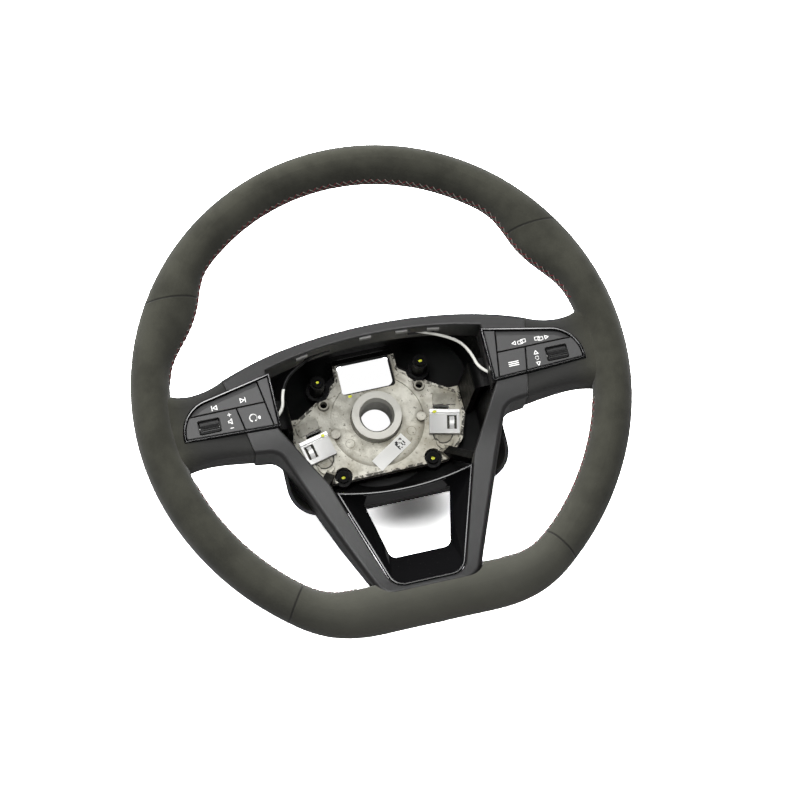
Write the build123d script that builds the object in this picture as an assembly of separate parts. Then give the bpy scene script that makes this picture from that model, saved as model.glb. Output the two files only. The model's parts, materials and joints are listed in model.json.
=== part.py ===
from build123d import *
import math
import os

# A car's steering wheel without its airbag, lying on its back with the driver's side up.
# +Z runs along the column towards the driver, +Y to the top of the wheel, +X to its right.
# The origin is on the column axis, at the rear end of the hub sleeve. Sizes are in millimetres.

# Rim: an oval grip on a path that is round above and flat below
rim_height = 100.0
rim_half_width = 185.2
rim_top_reach = 189.8
rim_bottom_reach = 181.0
rim_corner_growth = 11.5
rim_corner_sharpness = 50.0
grip_width = 29.2
grip_depth = 34.0
bottom_grip_width = 36.0
thumb_rest_height = 10.0
thumb_rest_angle = 32.0
thumb_rest_spread = 9.0
rim_sections = 20
cover_thickness = 1.6
core_width = 11.0
core_depth = 12.0
upper_seam_outer = (158.8, 98.3)
upper_seam_inner = (120.0, 95.0)
lower_seam_angle = -55.9

# Spoke ends: the wrapped stubs that join the side covers to the plastic spokes
# Each row of stub sections: inward from the grip's edge, low, high, back, front, corner radius
spoke_seam_top = (115.0, 29.5)
spoke_seam_bottom = (103.0, -31.0)
stub_seam_back = -26.0
stub_seam_front = 7.0
stub_seam_radius = 6.0
stub_sections = [
    (18.0, -28.5, 23.5, -24.5, 8.5, 9.0),
    (2.0, -32.0, 26.5, -21.5, 9.5, 11.0),
    (-12.0, -46.0, 46.0, -12.5, 11.0, 11.0),
]
seam_gap = 0.3

# Front spoke cover: brow, wings and two legs in one moulding
brow_edge_radius = 3.5
mouth_edge_radius = 1.2
cover_wall = 2.4
brow_top = 52.0
leg_corner = (86.0, -33.0)
foot_half_width = 36.0
foot_overlap = 10.5
leg_corner_radius = 12.0
foot_radius = 14.0
mouth_top = 42.0
mouth_lap = 2.0
mouth_shoulder = 30.0
mouth_low = -16.5
trim_shoulder = (54.5, -63.0)
trim_foot_half_width = 26.4
trim_foot_margin = 6.0
mouth_corner_radius = 4.0
trim_foot_radius = 13.0
cover_face = [
    (60, -14), (52, -8), (43, -1), (28, 5), (5, 8),
    (-20, 7), (-50, 0), (-85, -2.5), (-128, -2.5), (-162, 5),
]
parting_drop = 24.0
parting_bend = -108.0
parting_rise = 15.0
deck_thickness = 4.0

# Rear cover: a deep bucket round the hub with a collar for the column
bucket_wall = 2.5
collar_radius = 26.0
collar_back = -12.0
bucket_floor = -2.0
floor_radius = 52.0
cable_half_width = 21.5
cable_low = 28.0
cable_margin = 4.0
cable_radius = 5.0
bucket_shoulder = 16.0
shoulder_half_width = 78.0
shoulder_low = -68.0
shoulder_high = 57.0
shoulder_radius = 36.0
bucket_half_width = 84.0
bucket_low = -80.0
bucket_high = 49.0
bucket_radius = 24.0

# Armature: one die casting of hub plate, four arms and the rim's core
plate_front = 20.0
plate_thickness = 7.0
plate_top = 50.0
plate_half_outline = [(24.5, 34.0), (46.0, 18.5), (66.0, 6.5), (67.0, -12.0), (60.0, -31.0), (46.0, -44.5)]
plate_top_half_width = 24.0
plate_corner_radius = 3.0
plate_rim_width = 2.0
plate_rim_height = 1.2
dish_radius = 36.0
dish_depth = 2.4
dish_drop = 3.0
window_half_width = 21.0
window_low = 22.5
window_high = 47.0
window_radius = 3.0
guide_place = (37.5, 17.3)
guide_collar_radius = 3.9
guide_collar_height = 3.0
guide_hole_radius = 2.7
stop_place = (32.3, 23.2)
stop_radius = 1.8
stop_height = 1.6
pad_place = (33.5, -6.7)
pad_radius = 3.5
pad_height = 1.2
rear_rib_thickness = 3.0
rear_rib_height = 6.0
side_arm_width = 22.0
side_arm_thickness = 5.0
side_arm_start = 56.0
side_arm_knee = 69.5
side_arm_shoulder = 72.0
side_arm_drop = 19.5
side_arm_end_drop = 17.5
side_arm_end_gap = 6.0
side_arm_bend = 5.0
lower_arm_width = 7.0
lower_arm_thickness = 7.0
lower_arm_start = (44.0, -36.0)
lower_arm_knee = (63.0, -66.0)
lower_arm_drop = 19.2
lower_arm_end = 37.5
lower_arm_end_gap = 9.0
lower_arm_end_drop = 10.8
lower_arm_bend = 8.0
arm_clearance = 0.3

# Hub sleeve: turned steel, cast into the plate
sleeve_radius = 19.0
sleeve_length = 26.0
bore_radius = 11.75
mouth_radius = 13.5
mouth_depth = 4.0
sleeve_flange_radius = 22.0
sleeve_flange_thickness = 4.0

# Cover screws: driven from the front, through cast posts, into the rear cover
upper_screw_place = (40.0, 30.0)
upper_screw_seat = 41.0
lower_screw_place = (35.0, -40.0)
lower_screw_seat = 14.0
screw_post_radius = 5.5
screw_post_foot_radius = 8.0
screw_lug_radius = 6.8
screw_lug_thickness = 6.0
screw_head_radius = 4.2
screw_head_height = 3.0
screw_shank_radius = 2.0
screw_drive_radius = 1.7
screw_drive_depth = 1.6
screw_end_gap = 1.5
boss_radius = 4.6

# Airbag latches on the hub plate
clip_place = (49.5, -15.5)
clip_turn = -13.0
clip_length = 23.0
clip_width = 19.0
clip_thickness = 2.5
clip_rail_width = 2.6
clip_rail_height = 2.0
clip_window_start = 2.0
clip_window_length = 7.5
clip_window_width = 11.0
leaf_width = 3.6
leaf_thickness = 0.8
leaf_rise = 2.6
latch_slot_length = 17.5
latch_slot_width = 3.0
latch_slot_offset = 12.5
flap_width = 8.0
flap_height = 5.0
cup_radius = 6.5
cup_wall = 1.6
cup_height = 3.0
cup_offset = 12.5
cup_leg = 4.0

# Lower trim: a gloss frame round the window between the legs
trim_gap = 0.3
trim_top_side = -70.0
trim_top_middle = -77.0
trim_sink = 0.5
trim_front = rim_height - trim_sink
trim_depth = 12.5
trim_bead_depth = 3.0
trim_bead_width = 2.2
trim_edge_radius = 0.8
trim_wall = 1.8
trim_back_top = (34.8, -78.7)
trim_back_bow = 2.0
trim_back_bottom = (23.8, -126.8)
trim_back_radius = 7.8

# Switch modules, one in each spoke
module_inner = 80.0
module_tip_gap = 4.5
module_tip_height = -9.5
module_tip = (rim_half_width - grip_width - module_tip_gap, module_tip_height)
module_top_inner = 26.0
module_nose = 20.5
module_nose_height = 15.5
module_top_outer = (module_tip[0] - module_nose, module_nose_height)
module_bottom_inner = -15.8
module_bottom_outer = -13.0
module_rise = 9.5
module_face = rim_height + module_rise
module_drop = 12.0
module_back = rim_height - module_drop
module_clearance = 0.4
module_floor = 1.5
housing_wall = 1.6
bezel_width = 1.8
bezel_rise = 0.7
bezel_edge_radius = 0.6
key_thickness = 4.5
key_gap = 0.9
key_edge_radius = 0.35
split_height = 5.0
cap_split_foot = 7.2
cap_split_lean = 0.15
button_split_share = 0.5564
button_split_lean = 0.174
board_thickness = 1.6
mat_thickness = 1.5
board_margin = 0.5
dome_radius = 2.6
dome_height = 1.8
stem_gap = 1.2
stem_size = (9.0, 6.0)
key_leg = 2.4
key_leg_width = 6.0
leg_clearance = 0.3

# Rocker and its pivot
rocker_pivot_x = (module_inner + module_tip[0]) / 2
rocker_pivot_drop = 6.5
rocker_web = 5.0
rocker_web_low = 8.4
rocker_web_high = 12.4
rocker_post_thickness = 1.6
pin_radius = 1.0
running_clearance = 0.05
rocker_post_gap = 0.3
rocker_facet_width = 3.6
rocker_facet_drop = 1.4

# Roller, its axle and the sliding carrier
roller_inset = 20.1
roller_height = -4.5
roller_place = (module_tip[0] - roller_inset, roller_height)
roller_drop = 4.2
roller_radius = 5.0
roller_length = 14.0
roller_ridges = 22
roller_ridge_height = 0.45
roller_window_length = 16.4
roller_window_width = 10.8
roller_window_radius = 1.4
roller_plate_thickness = 2.2
carrier_cheek = 1.4
carrier_gap = 0.4
carrier_half_width = 3.4
carrier_floor = 1.2
axle_radius = 1.0

# Lead between the two switch modules, laid round the brow
lead_radius = 1.2
lead_path = [
    (74.5, 1.5, -8), (72.5, 13, -10), (67, 25, -12), (55, 33.5, -14),
    (42, 39.5, -15.5), (28, 45.2, -16.5), (10, 46.6, -17),
]
lead_start_drop = 6.0
lead_start_depth = 0.5
lead_start_side = -4.0
lead_notch_start = 30.0
lead_notch_end = 50.0
lead_notch_height = 5.0
lead_notch_drop = 15.5
lead_bend_share = 0.45


def slab(face, low, high):
    """A flat outline raised between two heights."""
    return Pos(0, 0, low) * extrude(face, high - low)


def softened(body, radius):
    """A body with the edges of its front face rounded."""
    return fillet(body.faces().sort_by(Axis.Z)[-1].edges(), radius)


def filled(*lines):
    """The face inside a closed run of curves."""
    return make_face([edge for line in lines for edge in line.edges()])


def polygon(points):
    """The face inside straight edges."""
    return filled(Polyline(*points, close=True))


def post(place, radius, low, high):
    """A round post at a place in plan."""
    return slab(Pos(*place) * Circle(radius), low, high)


def both_sides(shape):
    """A right-hand feature and its mirror image, as one shape."""
    return shape + mirror(shape, about=Plane.YZ)


def soft_min(first, second):
    """The smaller of two radii, eased where they cross."""
    power = rim_corner_sharpness
    return (first**-power + second**-power) ** (-1 / power)


def rim_edges(angle):
    """Outer and inner radius of the rim at an angle from the wheel's right."""
    rise = math.sin(math.radians(angle))
    if rise < 0:
        round_edge = rim_half_width + rim_corner_growth * rise**4
        flat_inner = rim_bottom_reach - bottom_grip_width
        outer = soft_min(round_edge, rim_bottom_reach / -rise)
        return outer, soft_min(round_edge - grip_width, flat_inner / -rise)
    outer = rim_half_width + (rim_top_reach - rim_half_width) * rise**2
    rest = thumb_rest_height * math.exp(-(((angle - thumb_rest_angle) / thumb_rest_spread) ** 2))
    return outer, outer - grip_width - rest


def rim_plane(angle):
    """The radial plane through the middle of the rim's section at an angle."""
    outer, inner = rim_edges(angle)
    turn = math.radians(angle)
    out = Vector(math.cos(turn), math.sin(turn), 0)
    middle = out * ((outer + inner) / 2) + Vector(0, 0, rim_height)
    return Plane(middle, x_dir=out, z_dir=(out.Y, -out.X, 0))


def right_half(section):
    """A loft down the right half of the rim, run past the middle at both ends and cut there."""
    angles = [90 - 180 * step / rim_sections for step in range(-2, rim_sections + 3)]
    return split(loft([section(angle) for angle in angles]), bisect_by=Plane.YZ, keep=Keep.TOP)


def rim_oval(angle, inset):
    """The rim's oval section at an angle, drawn in by an inset, in four quarters."""
    outer, inner = rim_edges(angle)
    half_width = (outer - inner) / 2 - inset
    half_depth = grip_depth / 2 - inset
    quarters = []
    for start in range(0, 360, 90):
        turns = [math.radians(start + step) for step in (0, 45, 90)]
        points = [(half_width * math.cos(turn), half_depth * math.sin(turn)) for turn in turns]
        ways = [(-math.sin(turn), math.cos(turn)) for turn in (turns[0], turns[-1])]
        quarters.append(Spline(*points, tangents=ways))
    return rim_plane(angle) * filled(*quarters)


def half_rim(inset):
    """The right half of the grip as a solid."""
    return right_half(lambda angle: rim_oval(angle, inset))


def rim_core():
    """The casting's ring, which runs inside the foam."""
    return both_sides(right_half(lambda angle: rim_plane(angle) * Rectangle(core_width, core_depth)))


def seam_planes():
    """The two planes that part the side cover from the top and bottom covers."""
    run = Vector(*upper_seam_outer, 0) - Vector(*upper_seam_inner, 0)
    upper = Plane((*upper_seam_outer, rim_height), x_dir=(0, 0, 1), z_dir=(-run.Y, run.X, 0))
    turn = math.radians(lower_seam_angle)
    lower = Plane((0, 0, rim_height), x_dir=(0, 0, 1), z_dir=(-math.sin(turn), math.cos(turn), 0))
    return upper, lower


def stub():
    """The wrapped spoke end, lofted from its seam with the plastic to inside the grip."""
    run = Vector(*spoke_seam_top, 0) - Vector(*spoke_seam_bottom, 0)
    foot = Vector(*spoke_seam_bottom, rim_height) + run / 2
    seam = Plane(foot, x_dir=run, z_dir=(run.Y, -run.X, 0))
    middle = (stub_seam_back + stub_seam_front) / 2
    height = stub_seam_front - stub_seam_back
    sections = [seam * Pos(0, middle) * RectangleRounded(run.length, height, stub_seam_radius)]
    for inward, low, high, back, front, radius in stub_sections:
        x = rim_half_width - grip_width - inward
        centre = (x, (low + high) / 2, rim_height + (back + front) / 2)
        plane = Plane(centre, x_dir=(0, 1, 0), z_dir=(1, 0, 0))
        sections.append(plane * RectangleRounded(high - low, front - back, radius))
    return loft(sections)


def module_outline(grow=0.0):
    """Plan of a switch module: straight above and below, rounded to its outer tip."""
    top = Line((module_inner, module_top_inner), module_top_outer)
    nose = TangentArc(module_top_outer, module_tip, tangent=top % 1)
    end = Polyline(
        module_tip,
        (module_tip[0], module_bottom_outer),
        (module_inner, module_bottom_inner),
        (module_inner, module_top_inner),
    )
    face = filled(top, nose, end)
    return offset(face, grow, kind=Kind.INTERSECTION) if grow else face


def cover_outline(grow=0.0):
    """Plan of the front spoke cover's outer edge."""
    foot = -(rim_edges(-90)[1] + foot_overlap)
    wing_high = (spoke_seam_top[0] - seam_gap, spoke_seam_top[1])
    wing_low = (spoke_seam_bottom[0] - seam_gap, spoke_seam_bottom[1])
    right = [wing_high, wing_low, leg_corner, (foot_half_width, foot)]
    left = [(-x, y) for x, y in reversed(right)]
    brow = ThreePointArc(left[-1], (0, brow_top), right[0])
    corners = [0, leg_corner_radius, foot_radius]
    edge = FilletPolyline(*right, *left, radius=corners + corners[::-1])
    face = filled(brow, edge)
    return offset(face, grow, kind=Kind.INTERSECTION) if grow else face


def cover_mouth(grow=0.0):
    """Plan of the cover's opening: the airbag's mouth and the lower trim's seat in one."""
    foot = -(rim_edges(-90)[1] + foot_overlap - trim_foot_margin)
    side = module_inner + mouth_lap
    right = [(side, mouth_shoulder), (side, mouth_low), trim_shoulder, (trim_foot_half_width, foot)]
    left = [(-x, y) for x, y in reversed(right)]
    top = ThreePointArc(left[-1], (0, mouth_top), right[0])
    corners = [mouth_corner_radius, trim_foot_radius, trim_foot_radius]
    edge = FilletPolyline(*right, *left, radius=corners + corners[::-1])
    face = filled(top, edge)
    return offset(face, grow, kind=Kind.INTERSECTION) if grow else face


def parting_line(shift=0.0):
    """Side view of the line where the front and rear covers meet, as points in Y and Z."""
    level = rim_height - parting_drop + shift
    first, last = cover_face[0][0], cover_face[-1][0]
    return [(first, level), (parting_bend, level), (last, level + parting_rise)]


def across(face):
    """A side-view outline in Y and Z, carried across the whole wheel."""
    return extrude(Plane.YZ.offset(-2 * rim_half_width) * face, 4 * rim_half_width)


def cover_block(outer, inner, drop, lift):
    """The front cover's ring in plan, between the parting line and its curved face."""
    crown = Spline(*[(y, rim_height + z - drop) for y, z in cover_face])
    low = parting_line(lift)
    side = filled(crown, Polyline(crown @ 1, low[2], low[1], low[0], crown @ 0))
    plan = slab(cover_outline(outer) - cover_mouth(inner), 0, 2 * rim_height)
    return plan & across(side)


def module_pair(grow, low, high):
    """Both switch modules' outlines as blocks."""
    return both_sides(slab(module_outline(grow), low, high))


def arm(points, bend, width, thickness, grow=0.0):
    """A cast arm of rectangular section along straight runs and tangent bends."""
    path = FilletPolyline(*points, radius=bend)
    start = Plane(path @ 0, x_dir=Vector(0, 0, 1).cross(path % 0), z_dir=path % 0)
    return sweep(start * Rectangle(width + 2 * grow, thickness + 2 * grow), path=path)


def arms(grow=0.0):
    """Two side arms and two lower arms."""
    core_level = rim_height - core_depth / 4
    side_level = plate_front - side_arm_thickness / 2
    side = [
        (side_arm_start, 0, side_level),
        (side_arm_knee, 0, side_level),
        (side_arm_shoulder, 0, rim_height - side_arm_drop),
        (rim_half_width - grip_width - side_arm_end_gap, 0, rim_height - side_arm_end_drop),
        (rim_half_width - grip_width / 2, 0, core_level),
    ]
    outer, inner = rim_edges(-90)
    lower = [
        (*lower_arm_start, plate_front - lower_arm_thickness / 2),
        (*lower_arm_knee, rim_height - lower_arm_drop),
        (lower_arm_end, lower_arm_end_gap - inner, rim_height - lower_arm_end_drop),
        (lower_arm_end, -(outer + inner) / 2, core_level),
    ]
    pair = arm(side, side_arm_bend, side_arm_width, side_arm_thickness, grow)
    pair += arm(lower, lower_arm_bend, lower_arm_width, lower_arm_thickness, grow)
    return both_sides(pair)


def latch_frame(shift=0.0):
    """Plan frame of the right-hand latch, moved along its own upright direction."""
    return Pos(*clip_place, 0) * Rot(0, 0, clip_turn) * Pos(0, shift, 0)


def hub_plate():
    """The casting's hub plate, with its dish, window, collars, posts and latch details."""
    back = plate_front - plate_thickness
    right = [(plate_top_half_width, plate_top)] + plate_half_outline
    outline = right + [(-x, y) for x, y in reversed(right)]
    face = filled(FilletPolyline(*outline, radius=plate_corner_radius, close=True))
    window = Pos(0, (window_low + window_high) / 2) * RectangleRounded(
        2 * window_half_width, window_high - window_low, window_radius
    )
    border = face - offset(face, -plate_rim_width, kind=Kind.INTERSECTION)
    plate = slab(face, back, plate_front)
    plate -= post((0, -dish_drop), dish_radius, plate_front - dish_depth, plate_front)
    plate += slab(border, plate_front, plate_front + plate_rim_height)
    features = post(guide_place, guide_collar_radius, back, plate_front + guide_collar_height)
    features += post(stop_place, stop_radius, back, plate_front + stop_height)
    features += post(pad_place, pad_radius, back, plate_front + pad_height)
    features += post(upper_screw_place, screw_post_foot_radius, back, plate_front)
    features += post(upper_screw_place, screw_post_radius, back, upper_screw_seat)
    lug_back = lower_screw_seat - screw_lug_thickness
    features += post(lower_screw_place, screw_lug_radius, lug_back, lower_screw_seat)
    features += latch_flap()
    features += latch_cup()
    plate += both_sides(features)
    holes = post(guide_place, guide_hole_radius, 0, 2 * plate_front)
    holes += post(lower_screw_place, screw_lug_radius, lower_screw_seat, 2 * plate_front)
    latch_slot = SlotOverall(latch_slot_length, latch_slot_width)
    holes += latch_frame(latch_slot_offset) * slab(latch_slot, 0, 2 * plate_front)
    plate -= both_sides(holes)
    ribs = Rectangle(2 * guide_place[0], rear_rib_thickness)
    ribs += Rectangle(rear_rib_thickness, -2 * plate_half_outline[-1][1])
    plate += slab(ribs, back - rear_rib_height, back)
    return plate - slab(window, 0, 2 * plate_front)


def latch_flap():
    """The slanted cast wall above the latch's slot."""
    near, far = latch_slot_width / 2, latch_slot_width / 2 + flap_width
    low = plate_front - plate_rim_height
    crest, lip = plate_front + flap_height, plate_front + plate_rim_height
    wedge = polygon([(near, low), (far, low), (far, crest), (near, lip)])
    solid = extrude(Plane.YZ * wedge, latch_slot_length / 2, both=True)
    return latch_frame(latch_slot_offset) * solid


def latch_cup():
    """The half-round cup below the latch, open towards it, with a leg each side."""
    ring = Circle(cup_radius) - Circle(cup_radius - cup_wall)
    lower = ring & (Pos(0, -cup_radius) * Rectangle(2 * cup_radius, 2 * cup_radius))
    legs = Rectangle(2 * cup_radius, cup_leg) - Rectangle(2 * (cup_radius - cup_wall), cup_leg)
    plan = lower + Pos(0, cup_leg / 2) * legs
    cup = slab(plan, plate_front - cup_wall, plate_front + cup_height)
    return latch_frame(-cup_offset - cup_leg / 2) * cup


def armature():
    """The whole casting, bored for the sleeve and drilled for the cover screws."""
    body = hub_plate() + arms() + rim_core()
    body -= post((0, 0), sleeve_radius, -sleeve_length, 2 * sleeve_length)
    body -= post((0, 0), sleeve_flange_radius, -sleeve_length, plate_front - plate_thickness)
    shanks = post(upper_screw_place, screw_shank_radius, 0, upper_screw_seat)
    shanks += post(lower_screw_place, screw_shank_radius, 0, lower_screw_seat)
    return body - both_sides(shanks)


def hub_sleeve():
    """Turned sleeve with a flared mouth and a flange behind the plate."""
    flange_top = plate_front - plate_thickness
    profile = [
        (bore_radius, 0),
        (sleeve_radius, 0),
        (sleeve_radius, flange_top - sleeve_flange_thickness),
        (sleeve_flange_radius, flange_top - sleeve_flange_thickness),
        (sleeve_flange_radius, flange_top),
        (sleeve_radius, flange_top),
        (sleeve_radius, sleeve_length),
        (mouth_radius, sleeve_length),
        (bore_radius, sleeve_length - mouth_depth),
    ]
    return revolve(Plane.XZ * polygon(profile), axis=Axis.Z)


def cover_screws():
    """Four screws with round heads and a socket."""
    ends = [(upper_screw_place, upper_screw_seat), (lower_screw_place, lower_screw_seat)]
    screws = []
    for place, seat in ends:
        low = boss_floor(place) + screw_end_gap
        screw = post(place, screw_shank_radius, low, seat)
        screw += post(place, screw_head_radius, seat, seat + screw_head_height)
        top = seat + screw_head_height
        screw -= slab(Pos(*place) * RegularPolygon(screw_drive_radius, 6), top - screw_drive_depth, top)
        screws += [screw, mirror(screw, about=Plane.YZ)]
    return Compound(children=screws)


def boss_floor(place):
    """Height at which a cover screw's boss starts, just above the bucket's sloping floor."""
    reach = math.hypot(*place) + boss_radius
    slope = (bucket_shoulder - bucket_floor) / (shoulder_half_width - floor_radius)
    return bucket_floor + max(reach - floor_radius, 0) * slope


def bucket(inset, lift):
    """The rear cover's hollow body, from its collar to the parting line."""
    top = rim_height - parting_drop
    rows = [
        (bucket_floor + lift, floor_radius, -floor_radius, floor_radius, floor_radius - 1),
        (bucket_shoulder + lift, shoulder_half_width, shoulder_low, shoulder_high, shoulder_radius),
        (top, bucket_half_width, bucket_low, bucket_high, bucket_radius),
    ]
    sections = []
    for height, half_width, low, high, radius in rows:
        plan = RectangleRounded(2 * (half_width - inset), high - low - 2 * inset, radius - inset)
        sections.append(Pos(0, (low + high) / 2, height) * plan)
    return loft(sections, ruled=True)


def rear_cover():
    """Bucket, collar, the deck behind the spokes and legs, and four screw bosses."""
    deck_low = parting_line(-deck_thickness)
    deck_high = parting_line()
    side = polygon(deck_low + deck_high[::-1])
    deck = slab(cover_outline() - cover_mouth(), 0, 2 * rim_height) & across(side)
    body = bucket(0, 0) + deck + post((0, 0), collar_radius, collar_back, bucket_floor + bucket_wall)
    throat = post((0, 0), collar_radius - bucket_wall, 2 * collar_back, bucket_floor + bucket_wall)
    body -= bucket(bucket_wall, bucket_wall) + throat
    bosses = post(upper_screw_place, boss_radius, bucket_floor, plate_front - plate_thickness)
    bosses += post(lower_screw_place, boss_radius, bucket_floor, lower_screw_seat - screw_lug_thickness)
    body += (both_sides(bosses) - throat) & bucket(bucket_wall / 2, bucket_wall / 2)
    for place, seat in ((upper_screw_place, upper_screw_seat), (lower_screw_place, lower_screw_seat)):
        body -= both_sides(post(place, screw_shank_radius, boss_floor(place) + screw_end_gap, seat))
    cable_high = shoulder_high - cable_margin
    cable = RectangleRounded(2 * cable_half_width, cable_high - cable_low, cable_radius)
    return body - slab(Pos(0, (cable_low + cable_high) / 2) * cable, bucket_floor, plate_front)


def spoke_cover():
    """Front cover: a hollow ring with pockets for the switch modules and a notch for the lead."""
    body = cover_block(0, 0, 0, 0)
    rim_side = body.faces().sort_by(SortBy.AREA)[-1].outer_wire().edges()
    brow = [edge for edge in rim_side if abs(edge.center().X) < spoke_seam_bottom[0]]
    body = fillet(brow, brow_edge_radius)
    mouth_side = body.faces().sort_by(SortBy.AREA)[-1].inner_wires().edges()
    body = fillet(mouth_side, mouth_edge_radius)
    pocket_floor = module_back - module_clearance
    hollow = cover_block(-cover_wall, cover_wall, cover_wall, -1)
    hollow -= module_pair(cover_wall + module_clearance, pocket_floor - cover_wall, 2 * rim_height)
    body -= hollow
    body -= module_pair(module_clearance, pocket_floor, 2 * rim_height)
    body -= arms(arm_clearance)
    notch = Box(
        lead_notch_end - lead_notch_start,
        mouth_top + cover_wall - mouth_shoulder,
        lead_notch_height,
        align=(Align.MIN, Align.MIN, Align.CENTER),
    )
    notch_level = rim_height - lead_notch_drop
    notches = both_sides(Pos(lead_notch_start, mouth_shoulder, notch_level) * notch)
    return body - (notches & slab(cover_mouth(1.5 * cover_wall), 0, 2 * rim_height))


def trim_plan(top, bow, foot, radius):
    """A frame outline with a bowed top edge, straight sides and a rounded foot."""
    right = [top, foot]
    left = [(-x, y) for x, y in reversed(right)]
    edge = FilletPolyline(*right, *left, radius=radius)
    return filled(ThreePointArc(left[-1], (0, top[1] - bow), right[0]), edge)


def trim_outline(inset):
    """Plan of the lower trim, set into the front cover's mouth."""
    foot = -(rim_edges(-90)[1] + foot_overlap - trim_foot_margin)
    slope = (trim_shoulder[0] - trim_foot_half_width) / (trim_shoulder[1] - foot)
    top = (trim_shoulder[0] + (trim_top_side - trim_shoulder[1]) * slope, trim_top_side)
    face = trim_plan(top, trim_top_side - trim_top_middle, (trim_foot_half_width, foot), trim_foot_radius)
    return offset(face, -inset, kind=Kind.INTERSECTION)


def lower_trim():
    """A bead round the edge, and flanks that slope back to the window."""
    back_outer = trim_plan(trim_back_top, trim_back_bow, trim_back_bottom, trim_back_radius)
    back_inner = offset(back_outer, -trim_wall, kind=Kind.INTERSECTION)
    back = trim_front - trim_depth
    seat = trim_front - trim_bead_depth
    outer = trim_outline(trim_gap)
    inner = trim_outline(trim_gap + trim_bead_width)
    flank = loft([Pos(0, 0, seat) * outer, Pos(0, 0, back) * back_outer])
    flank -= loft([Pos(0, 0, seat) * inner, Pos(0, 0, back) * back_inner])
    return flank + softened(slab(outer - inner, seat, trim_front), trim_edge_radius)


def foot_notch():
    """The space that the covers' foot takes out of the lower grip."""
    low = parting_line(-deck_thickness - seam_gap)
    top = 2 * rim_height
    side = polygon(low + [(low[2][0], top), (low[0][0], top)])
    return slab(cover_outline(seam_gap), 0, top) & across(side)


def rim_foam(solid):
    """Foam moulded round the core and the ends of the arms."""
    return both_sides(solid) - rim_core() - arms() - foot_notch()


def side_cover(skin, foam):
    """Wrapped side grip with its spoke end, cut for the switch module and the arm."""
    upper, lower = seam_planes()
    grip = split(split(skin, bisect_by=upper, keep=Keep.BOTTOM), bisect_by=lower, keep=Keep.TOP)
    cover = grip + (stub() - foam)
    cover -= slab(module_outline(module_clearance), module_back - module_clearance, 2 * rim_height)
    return cover - arms(arm_clearance)


def top_cover(skin):
    """Wrapped upper grip, between the two upper seams."""
    return both_sides(split(skin, bisect_by=seam_planes()[0], keep=Keep.TOP))


def bottom_cover(skin):
    """Wrapped lower grip, notched for the covers' foot."""
    grip = split(skin, bisect_by=seam_planes()[1], keep=Keep.BOTTOM)
    return both_sides(grip) - foot_notch() - arms(arm_clearance)


def clip():
    """Stamped latch plate with two rails and a window for its leaf."""
    middle = clip_window_start + clip_window_length / 2
    window = Pos(middle, 0) * Rectangle(clip_window_length, clip_window_width)
    top = plate_front + clip_thickness
    body = slab(Rectangle(clip_length, clip_width) - window, plate_front, top)
    for side in (-1, 1):
        rail = Pos(0, side * (clip_width - clip_rail_width) / 2) * Rectangle(clip_length, clip_rail_width)
        body += slab(rail, top, top + clip_rail_height)
    return latch_frame() * body


def clip_leaf():
    """Bowed leaf spring that lies in the clip's window."""
    half = clip_window_width / 2 - leaf_thickness / 2
    low, high = plate_front, plate_front + leaf_thickness
    under = ThreePointArc((-half, low), (0, low + leaf_rise), (half, low))
    over = ThreePointArc((half, high), (0, high + leaf_rise), (-half, high))
    face = filled(under, Line(under @ 1, over @ 0), over, Line(over @ 1, under @ 0))
    middle = clip_window_start + clip_window_length / 2
    return latch_frame() * Pos(middle, 0, 0) * extrude(Plane.YZ * face, leaf_width / 2, both=True)


def cap_split(height):
    """Where the end cap's slanted split line stands at a height."""
    return module_inner + cap_split_foot + cap_split_lean * height


def button_split(height):
    """Where the push button's slanted split line stands at a height."""
    return module_inner + button_split_share * (roller_place[0] - module_inner) + button_split_lean * height


def key_plan(region):
    """A key's face in plan: its share of the module inside the bezel, less half a gap all round."""
    field = offset(module_outline(), -bezel_width, kind=Kind.INTERSECTION)
    return offset(field & polygon(region), -key_gap / 2, kind=Kind.INTERSECTION)


def key_regions():
    """Corners that part the module's face into end cap, rocker, push button and roller plate."""
    high, low, middle = module_inner, -module_inner, split_height
    far = 2 * module_tip[0]
    return {
        "end_cap": [(0, high), (cap_split(high), high), (cap_split(low), low), (0, low)],
        "rocker": [(cap_split(middle), middle), (cap_split(high), high), (far, high), (far, middle)],
        "button": [
            (cap_split(middle), middle),
            (button_split(middle), middle),
            (button_split(low), low),
            (cap_split(low), low),
        ],
        "plate": [(button_split(middle), middle), (far, middle), (far, low), (button_split(low), low)],
    }


def leg_plans():
    """Footprints of the legs on which the fixed face pieces stand."""
    roller_x, roller_y = roller_place
    outer_leg = roller_x + roller_length / 2 + 2 * carrier_gap + carrier_cheek + key_leg / 2
    inner_leg = button_split(split_height) + key_gap + key_leg
    cap_x = (module_inner + bezel_width + cap_split(split_height)) / 2
    leg = Rectangle(key_leg, key_leg_width)
    plate_legs = Pos(outer_leg, roller_y) * leg + Pos(inner_leg, roller_y) * leg
    return plate_legs, Pos(cap_x, split_height) * leg


def rocker_post_plans():
    """Footprints of the two posts that carry the rocker's pin."""
    low = rocker_web_low - rocker_post_gap - rocker_post_thickness / 2
    high = rocker_web_high + rocker_post_gap + rocker_post_thickness / 2
    foot = Rectangle(rocker_web, rocker_post_thickness)
    return Pos(rocker_pivot_x, low) * foot + Pos(rocker_pivot_x, high) * foot


def across_pin(radius, start, end):
    """A round bar along Y at the rocker's pivot."""
    plane = Plane((rocker_pivot_x, start, module_face - rocker_pivot_drop), z_dir=(0, 1, 0))
    return extrude(plane * Circle(radius), end - start)


def roller_bar(profile, start, end):
    """A section drawn about the roller's axis, carried along X."""
    plane = Plane((start, roller_place[1], module_face - roller_drop), x_dir=(0, 1, 0), z_dir=(1, 0, 0))
    return extrude(plane * profile, end - start)


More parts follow.
